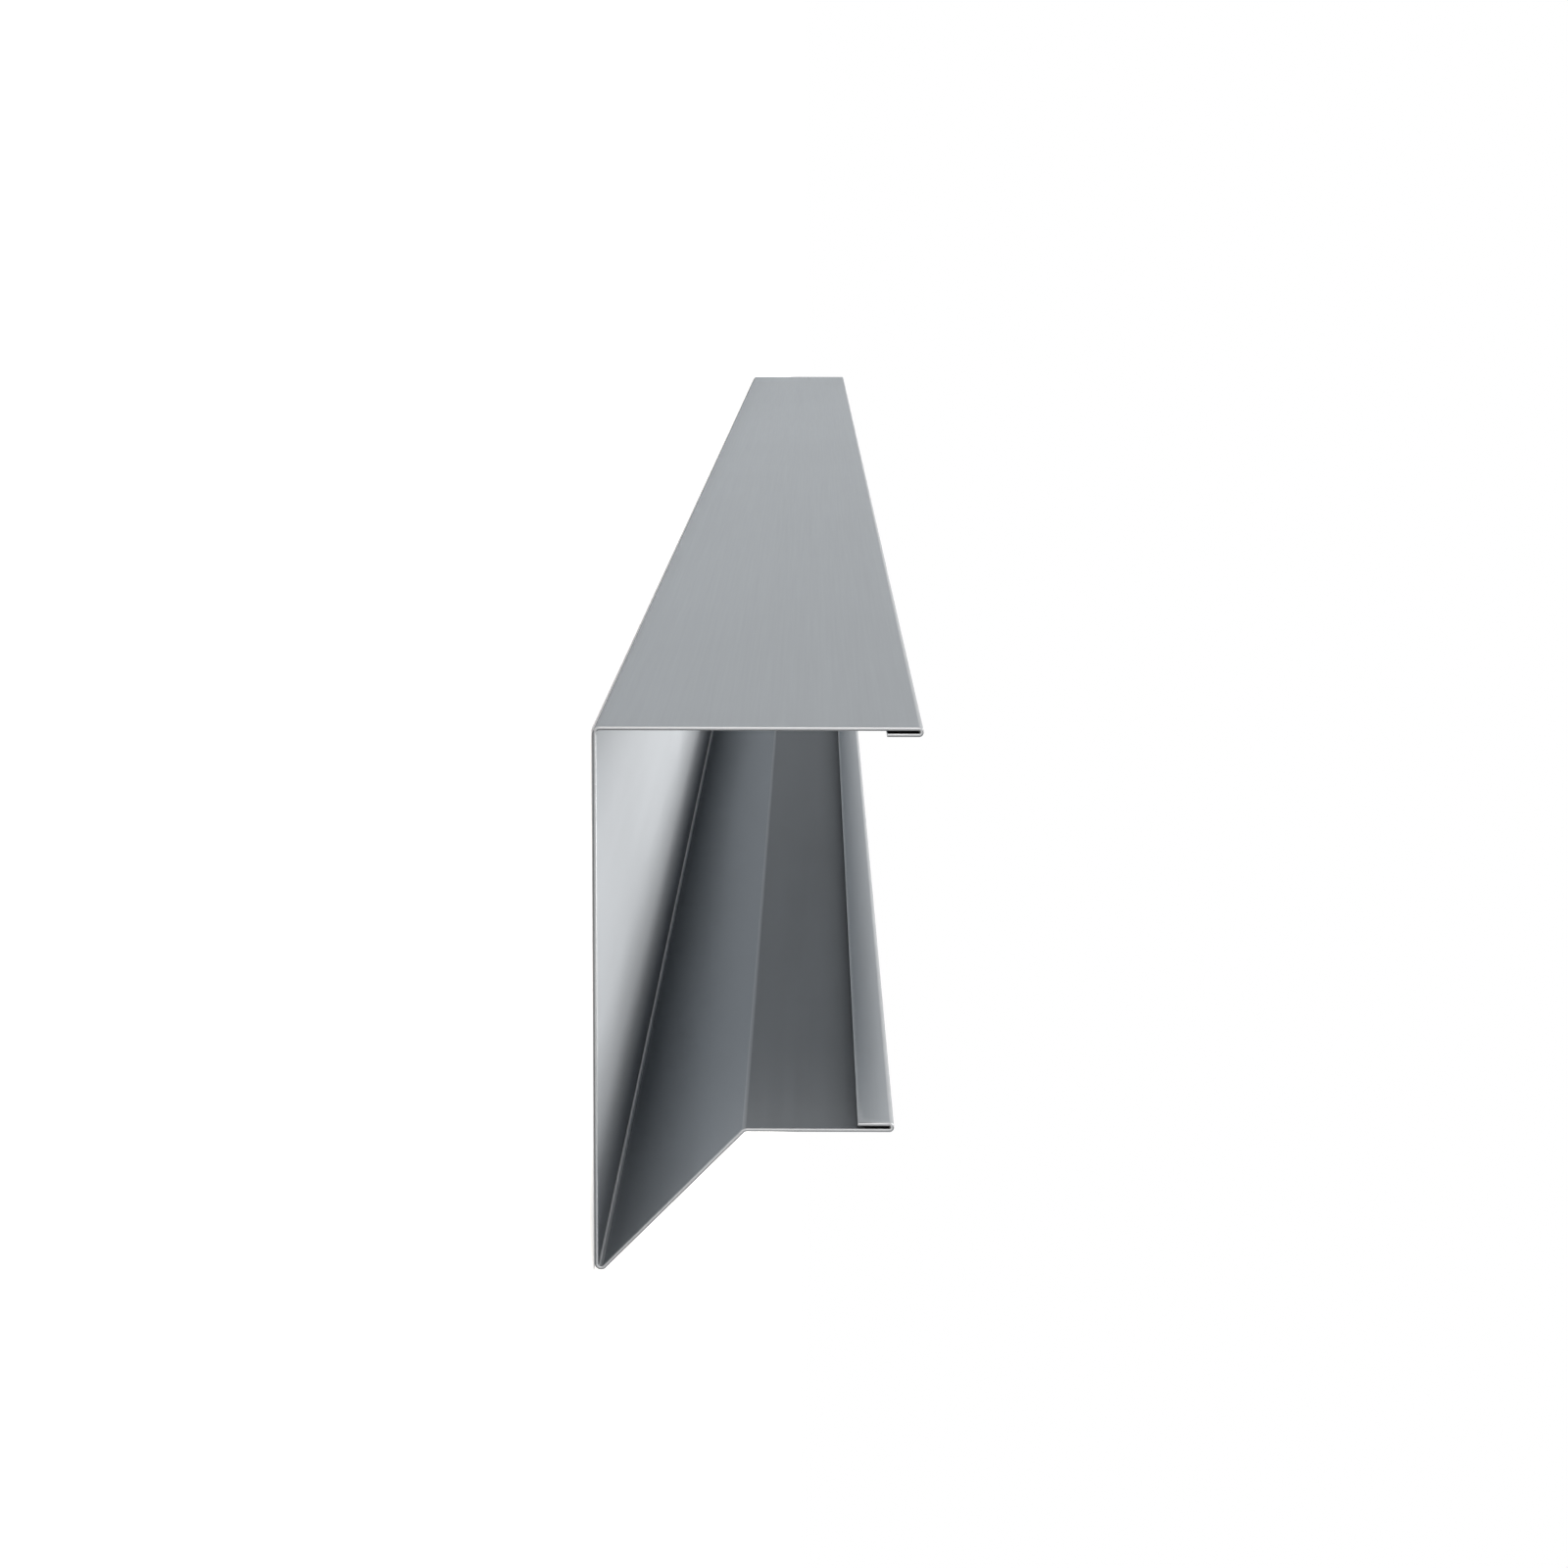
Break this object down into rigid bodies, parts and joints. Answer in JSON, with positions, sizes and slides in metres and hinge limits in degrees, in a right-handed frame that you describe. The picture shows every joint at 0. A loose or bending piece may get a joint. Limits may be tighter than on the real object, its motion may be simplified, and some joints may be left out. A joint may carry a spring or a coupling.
{
  "type": "verge flashing",
  "caption": "Folded sheet-metal verge flashing: hemmed top flange, tall web, sharp drip nose, 45 degree return and hemmed lower flange in one C-shaped channel.",
  "frame": {"origin": "centre of the web's outer face, which the length lies on: the middle of the bounding box's underside", "axes": "+Y along the length, +Z out of the mouth of the channel, away from the web, and +X from the top flange to the drip nose"},
  "size_m": [0.151, 3, 0.09],
  "materials": {
    "mill_sheet": "satin rolled sheet with a fine grain along its length, brighter cut edges"
  },
  "bodies": {
    "root": {"verge_flashing": "mill_sheet"}
  },
  "joints": []
}
